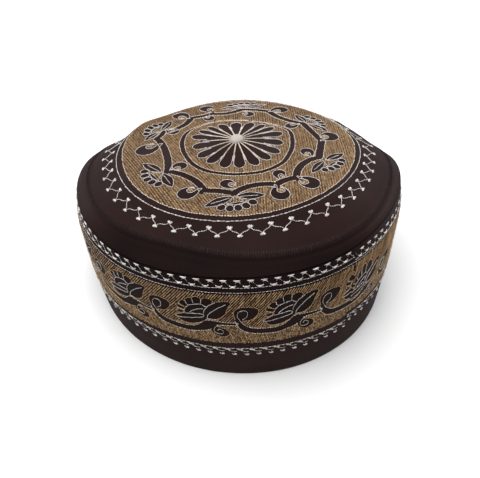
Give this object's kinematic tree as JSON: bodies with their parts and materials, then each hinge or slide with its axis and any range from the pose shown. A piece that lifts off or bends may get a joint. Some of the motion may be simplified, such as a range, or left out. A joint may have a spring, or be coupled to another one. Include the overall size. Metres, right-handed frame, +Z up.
{
  "type": "embroidered prayer cap",
  "caption": "Round flat-topped cloth prayer cap with a domed top, an upright side wall, raised thread embroidery and an open head hollow.",
  "frame": {"origin": "on the surface that the rim stands on, under the middle of the cap's outline", "axes": "+Z up through the top, -Y towards the front seen in the picture, +X to the right in that view"},
  "size_m": [0.1892, 0.1914, 0.0955],
  "materials": {
    "brown_cloth": "smooth dark brown woven cloth with a soft sheen",
    "tan_thread": "golden tan embroidery thread laid in close hatched rows",
    "white_thread": "off-white glossy embroidery thread"
  },
  "bodies": {
    "root": {"side_wall": "brown_cloth", "crown_panel": "brown_cloth", "crown_medallion": "tan_thread", "wall_frieze": "tan_thread", "centre_knot": "white_thread"}
  },
  "joints": []
}
